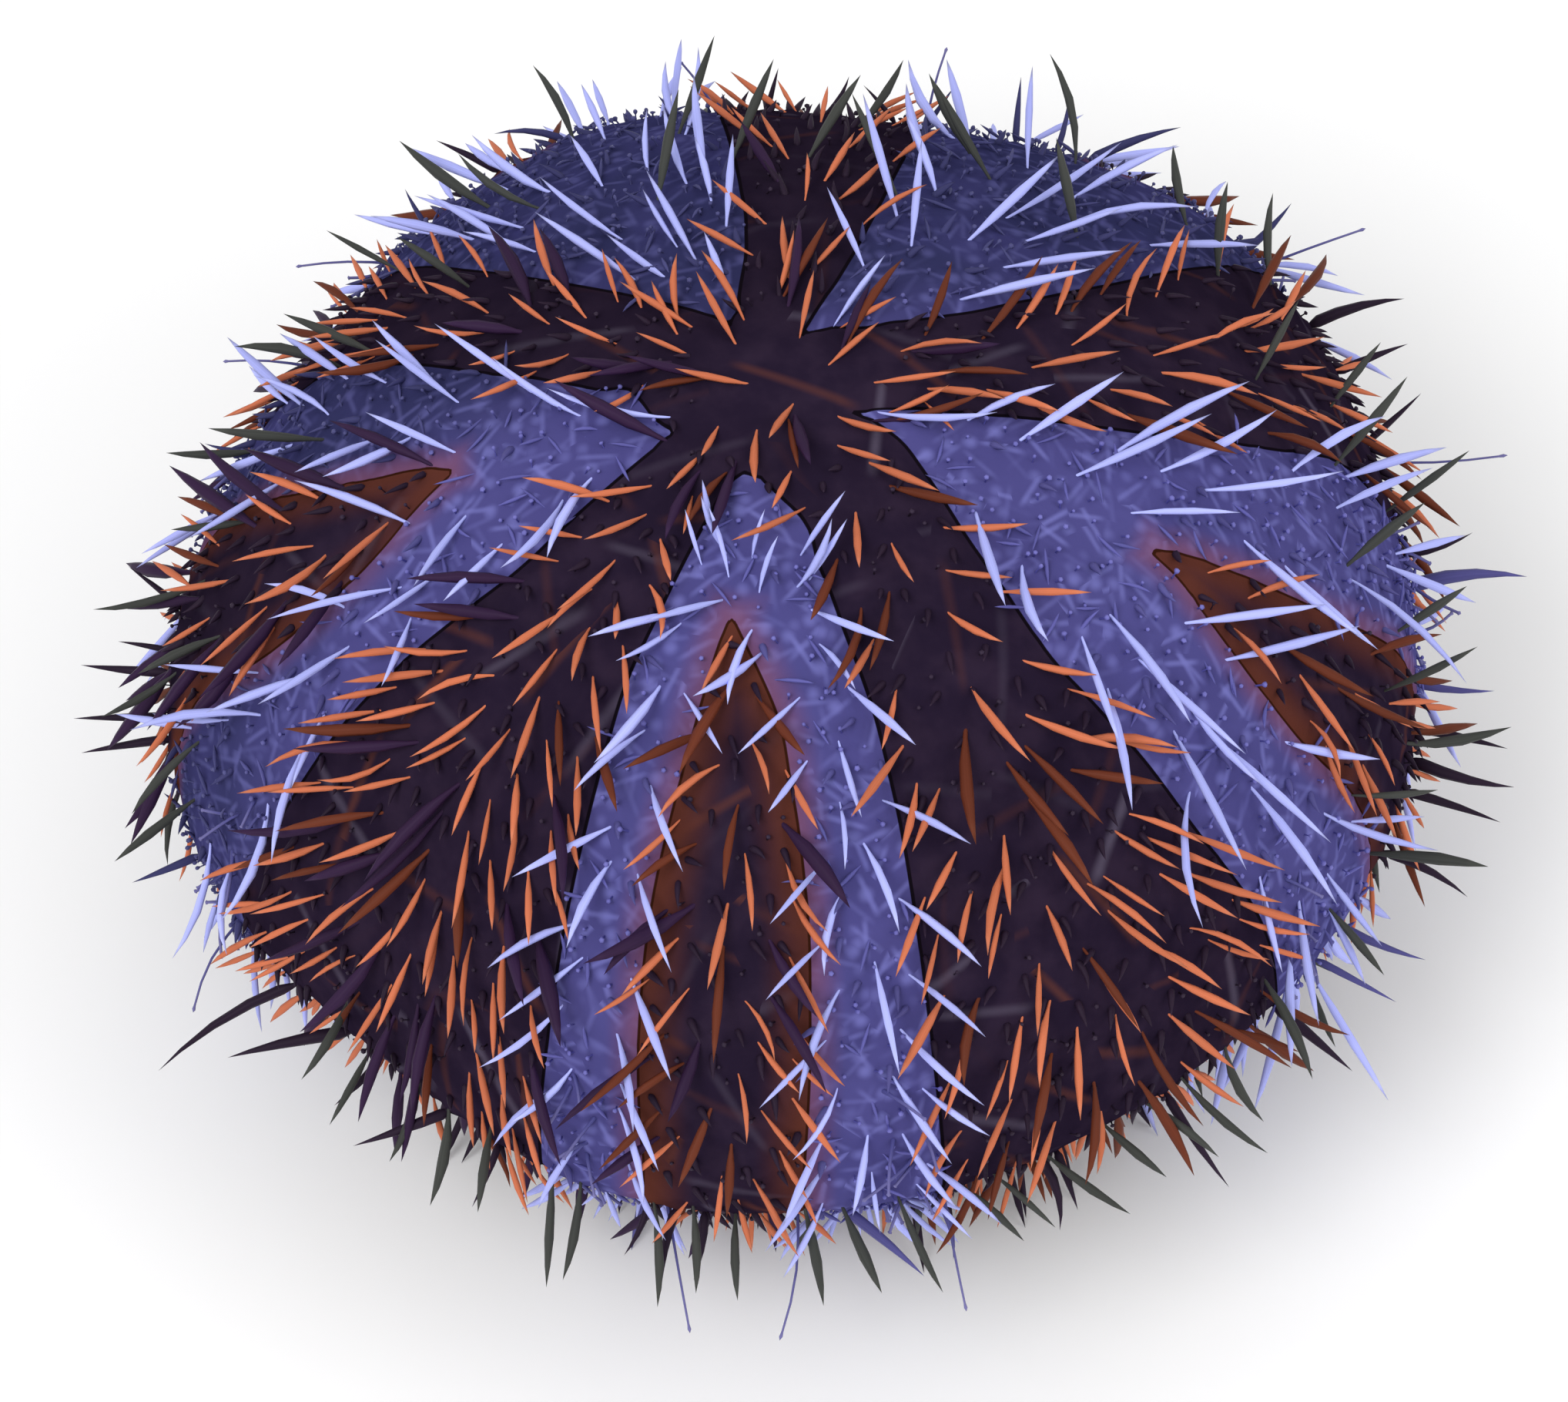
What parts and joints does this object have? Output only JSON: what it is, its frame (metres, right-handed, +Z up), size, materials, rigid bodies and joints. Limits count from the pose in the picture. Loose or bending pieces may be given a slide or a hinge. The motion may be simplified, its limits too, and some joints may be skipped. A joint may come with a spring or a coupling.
{
  "type": "collector urchin",
  "caption": "Life-size still model of a round, dark violet sea urchin with blue bands and short orange and lilac spines, resting on its lower spines.",
  "frame": {"origin": "on the floor, under the axis of the body, at the middle of the whole outline", "axes": "+Z up along the body's axis, from the mouth to the apical disc; the drawing's viewer stands towards -Y; +X to the viewer's right"},
  "size_m": [0.128, 0.1199, 0.0755],
  "materials": {
    "ambulacral_skin": "wet skin, slate blue, with paler specks",
    "interambulacral_skin": "wet skin, near-black violet",
    "disc_skin": "wet skin, near-black violet",
    "mouth_membrane": "soft pinkish brown membrane",
    "spine_orange": "satin calcite, burnt orange",
    "spine_lilac": "satin calcite, pale lilac blue",
    "spine_brown": "satin calcite, deep red brown",
    "spine_purple": "satin calcite, dark purple",
    "spine_grey": "satin calcite, grey green",
    "tube_feet": "thin wet skin",
    "teeth": "polished calcite, ivory white"
  },
  "bodies": {
    "root": {"ambulacrum_front": "ambulacral_skin", "ambulacrum_right": "ambulacral_skin", "ambulacrum_back_right": "ambulacral_skin", "ambulacrum_back_left": "ambulacral_skin", "ambulacrum_left": "ambulacral_skin", "interambulacrum_front_right": "interambulacral_skin", "interambulacrum_right": "interambulacral_skin", "interambulacrum_back": "interambulacral_skin", "interambulacrum_left": "interambulacral_skin", "interambulacrum_front_left": "interambulacral_skin", "apical_disc": "disc_skin", "peristome": "mouth_membrane"}
  },
  "joints": []
}
